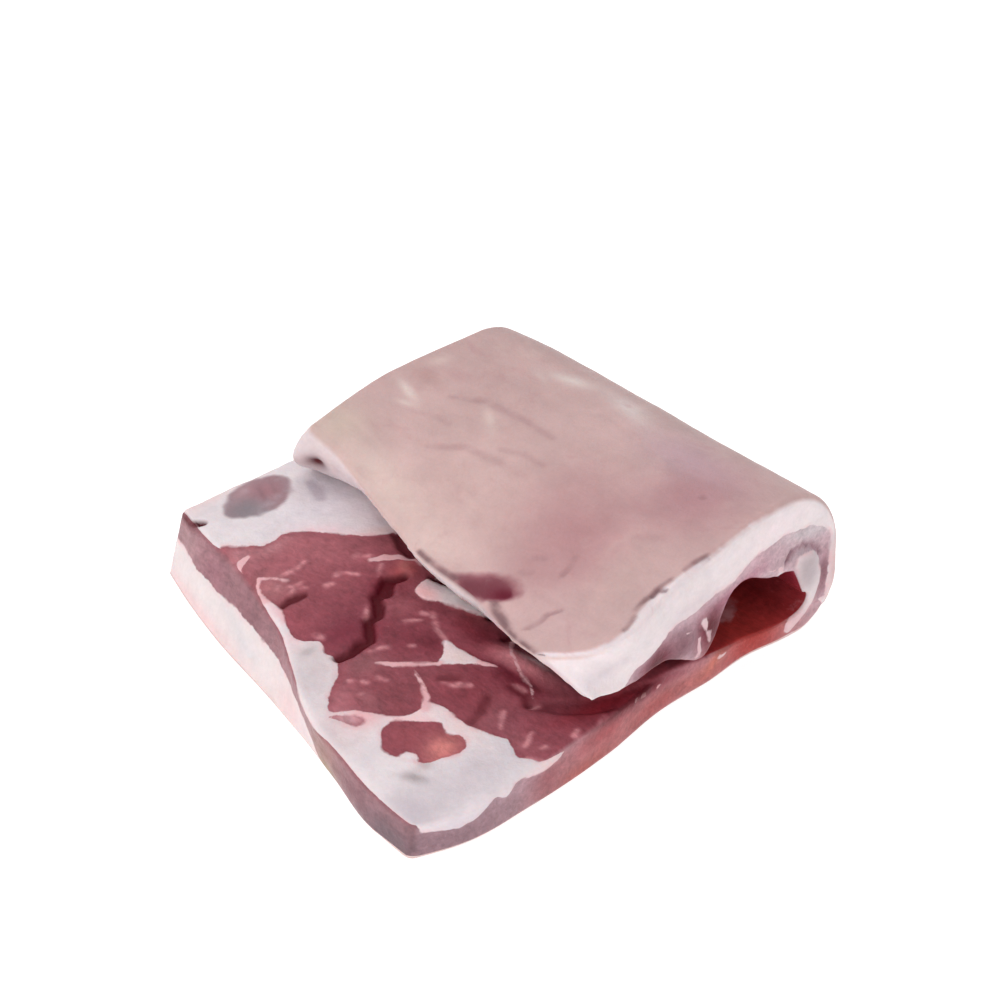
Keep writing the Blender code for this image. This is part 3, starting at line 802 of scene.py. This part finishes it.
for name in ("lean_tint", "fat_tint"):
    values = np.concatenate([linear(looks[name]), np.ones((len(s), 1))], axis=1)
    layer_of_colour = mesh.attributes.new(name, "FLOAT_COLOR", "POINT")
    layer_of_colour.data.foreach_set("color", values.astype(np.float32).ravel())
for name, values in (
    ("lean", looks["lean"]), ("blood", np.clip(looks["blood"], 0, 1)), ("rind_side", on_rind.astype(float)),
):
    mesh.attributes.new(name, "FLOAT", "POINT").data.foreach_set("value", values.astype(np.float32))
slab = bpy.data.objects.new("belly_slab_skin", mesh)
bpy.context.scene.collection.objects.link(slab)

# Underneath and inside the fold the quads are far closer than they need be, so they are merged.
plain = (on_rind & (s < 0.46) & (rise == 0)) | (on_meat & (s > 0.41)) | on_far
plain &= (s > 0.01) & (s < 0.98)
slab.vertex_groups.new(name="plain").add(np.flatnonzero(plain).tolist(), 1.0, "REPLACE")
merge = slab.modifiers.new("merge", "DECIMATE")
merge.ratio = MERGED_SHARE
merge.vertex_group = "plain"
merged = bpy.data.meshes.new_from_object(slab.evaluated_get(bpy.context.evaluated_depsgraph_get()))
slab.modifiers.clear()
slab.data = merged


class Strand:
    """One socket of a material. Sums and products of strands add Math nodes to its tree."""

    def __init__(self, tree, socket):
        self.tree = tree
        self.socket = socket

    def add(self, kind, settings, sockets, output=0):
        """Adds a node: its settings first, then the values or strands of its sockets."""
        node = self.tree.nodes.new("ShaderNode" + kind)
        for name, value in settings.items():
            setattr(node, name, value)
        for name, value in sockets.items():
            if isinstance(value, Strand):
                self.tree.links.new(value.socket, node.inputs[name])
            else:
                node.inputs[name].default_value = value
        return Strand(self.tree, node.outputs[output] if node.outputs else None)

    def sum_of(self, operation, first, second):
        return self.add("Math", {"operation": operation}, {0: first, 1: second})

    def __add__(self, other):
        return self.sum_of("ADD", self, other)

    __radd__ = __add__

    def __sub__(self, other):
        return self.sum_of("SUBTRACT", self, other)

    def __rsub__(self, other):
        return self.sum_of("SUBTRACT", other, self)

    def __mul__(self, other):
        return self.sum_of("MULTIPLY", self, other)

    __rmul__ = __mul__

    def between(self, low, high):
        """0 below low, 1 above high, and a soft rise from one to the other."""
        settings = {"interpolation_type": "SMOOTHSTEP"}
        return self.add("MapRange", settings, {"Value": self, "From Min": low, "From Max": high})

    def tinted(self, below, above):
        """A colour that goes from below to above as this strand goes from 0 to 1."""
        return self.add("Mix", {"data_type": "RGBA"}, {0: self, 6: below, 7: above}, 2)

    def brighter(self, amount):
        """A colour made lighter or darker by a factor around 1."""
        return self.add("VectorMath", {"operation": "SCALE"}, {0: self, "Scale": amount})


raw_belly = bpy.data.materials.new("raw_belly")
raw_belly.use_nodes = True
tree = raw_belly.node_tree
tree.nodes.clear()
start = Strand(tree, None)


def laid(name, output):
    return start.add("Attribute", {"attribute_name": name}, {}, output)


place = start.add("TexCoord", {}, {}, 3)


def grain(size_mm, detail=2.0, roughness=0.5, stretch=(1, 1, 1), distortion=0.0):
    """Noise around 0, about -1 to 1, with lumps of this size."""
    spot = start.add("Mapping", {}, {"Vector": place, "Scale": [v / (size_mm * MM) for v in stretch]})
    sockets = {
        "Vector": spot, "Scale": 1.0, "Detail": detail, "Roughness": roughness, "Distortion": distortion,
    }
    return (start.add("TexNoise", {}, sockets) - 0.5) * 2.0


def paint(red, green, blue):
    return tuple(linear((red, green, blue))) + (1.0,)


lean_reach = laid("lean", 2) + grain(3.5, 3, 0.6) * 0.9
crispness = (grain(12, 3) + 0.1).between(-0.3, 0.4) * 0.75 + 0.25
in_lean = (lean_reach * crispness).between(-0.35, 0.35)
fibres = grain(2.2, 4, 0.65, (1, 0.45, 1), 0.5)
mottling = grain(9, 3, 0.6)
lean_colour = laid("lean_tint", 0).brighter(fibres * 0.45 + mottling * 0.35 + 1.0)
paler = (grain(5, 4, 0.65, (1.3, 0.6, 1), 0.8) + fibres * 0.4).between(0.3, 0.9)
lean_colour = (paler * 0.5).tinted(lean_colour, paint(196, 138, 144))
darker = (grain(6, 4, 0.7, (1, 0.7, 1), 0.6)).between(0.25, 0.8)
lean_colour = (darker * 0.5).tinted(lean_colour, paint(96, 30, 44))

fat_colour = laid("fat_tint", 0).brighter(grain(8, 4, 0.6) * 0.12 + grain(1.8, 3) * 0.06 + 1.0)
fat_colour = (grain(13, 3).between(0.0, 0.7) * 0.4).tinted(fat_colour, paint(206, 198, 206))
halo = lean_reach.between(-3.2, 0.0) * (grain(8, 3) + 0.3).between(0.0, 0.8)
fat_colour = (halo * 0.65).tinted(fat_colour, paint(222, 168, 174))
meat_colour = in_lean.tinted(fat_colour, lean_colour)

strokes = grain(14, 4, 0.6, (1, 0.5, 1), 0.8)
rind_shade = grain(24, 3, 0.6) * 0.14 + strokes * 0.12 + grain(1.3, 3) * 0.05 + 0.98
rosy = grain(18, 4, 0.65, (1, 0.6, 1), 1.0).between(0.05, 0.7) * 0.45
waxy = grain(26, 4, 0.65).between(0.1, 0.7) * 0.35
rind_colour = laid("fat_tint", 0).brighter(rind_shade)
rind_colour = rosy.tinted(rind_colour, paint(178, 130, 134))
rind_colour = waxy.tinted(rind_colour, paint(216, 194, 186))
rind_colour = in_lean.tinted(rind_colour, laid("lean_tint", 0).brighter(fibres * 0.4 + 1.0))
on_skin = laid("rind_side", 2).between(0.3, 0.7)
base = on_skin.tinted(meat_colour, rind_colour)
# Dark blood red laid over the base: blood in some grooves, painted shade in the gaps, pockets and rim
# lines.
base = laid("blood", 2).tinted(base, paint(84, 12, 24))

bumps = grain(1.5, 4, 0.6) * 0.5 + grain(4.5, 3) * 0.6
bump = start.add("Bump", {}, {"Strength": 0.4, "Distance": 0.0006, "Height": bumps})
roughness = (grain(7, 3) * 0.5 + 0.5).between(0, 1) * 0.2 + (0.36 - in_lean * 0.06) + on_skin * 0.08
skin = start.add("BsdfPrincipled", {"subsurface_method": "RANDOM_WALK"}, {
    "Base Color": base, "Roughness": roughness, "Normal": bump,
    "Subsurface Weight": 0.25, "Subsurface Scale": 0.003, "Subsurface Radius": (1.0, 0.45, 0.3),
    "Specular IOR Level": 0.12,
})
start.add("OutputMaterial", {}, {"Surface": skin})
merged.materials.append(raw_belly)
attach(slab, "root")
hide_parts("belly_slab")


# ---------------------------------------------------------------------------------------
# The floor. A wide plain pale sheet that the slab lies on.

FLOOR_SIZE = 6.0
bpy.ops.mesh.primitive_plane_add(size=FLOOR_SIZE)
floor = bpy.context.active_object
floor.name = "floor"
pale = bpy.data.materials.new("pale_floor")
pale.use_nodes = True
pale_shader = pale.node_tree.nodes["Principled BSDF"]
pale_shader.inputs["Base Color"].default_value = (0.5, 0.5, 0.5, 1)
pale_shader.inputs["Roughness"].default_value = 0.9
pale_shader.inputs["Specular IOR Level"].default_value = 0.1
pale_shader.inputs["Emission Color"].default_value = (1, 1, 1, 1)
pale_shader.inputs["Emission Strength"].default_value = 0.75
floor.data.materials.append(pale)


# ---------------------------------------------------------------------------------------
# Soft studio light: a bright even surround and two large soft panels.

surround = bpy.data.worlds.new("studio")
surround.use_nodes = True
surround.node_tree.nodes["Background"].inputs["Color"].default_value = (1, 1, 1, 1)
surround.node_tree.nodes["Background"].inputs["Strength"].default_value = 0.75
bpy.context.scene.world = surround


def soft_panel(name, place, aim, size, power):
    light = bpy.data.lights.new(name, "AREA")
    light.shape = "SQUARE"
    light.size = size
    light.energy = power
    panel = bpy.data.objects.new(name, light)
    panel.location = place
    panel.rotation_euler = (Vector(aim) - Vector(place)).to_track_quat("-Z", "Y").to_euler()
    bpy.context.scene.collection.objects.link(panel)


soft_panel("over", (-0.2, 0.2, 1.6), (0, 0, 0), 1.4, 5)
soft_panel("left", (-1.5, -0.1, 0.75), (0, 0, 0.03), 1.0, 8)

# The camera looks down on the near left of the slab.
VIEW_TURN, VIEW_DROP = math.radians(-43), math.radians(36.5)
AIM_DROP = VIEW_DROP - math.atan(90 / 2000)
VIEW_DISTANCE = 0.9
aim = Vector((-middle[0], -middle[1], 30.0)) * MM
back = Vector((
    math.sin(VIEW_TURN) * math.cos(VIEW_DROP), -math.cos(VIEW_TURN) * math.cos(VIEW_DROP),
    math.sin(VIEW_DROP),
))
camera_data = bpy.data.cameras.new("camera")
camera_data.lens = 72
camera_data.sensor_width = 36
camera = bpy.data.objects.new("camera", camera_data)
camera.location = aim + back * VIEW_DISTANCE
camera.rotation_euler = (math.pi / 2 - AIM_DROP, 0, VIEW_TURN)
bpy.context.scene.collection.objects.link(camera)
bpy.context.scene.camera = camera
bpy.context.scene.view_settings.view_transform = "Standard"
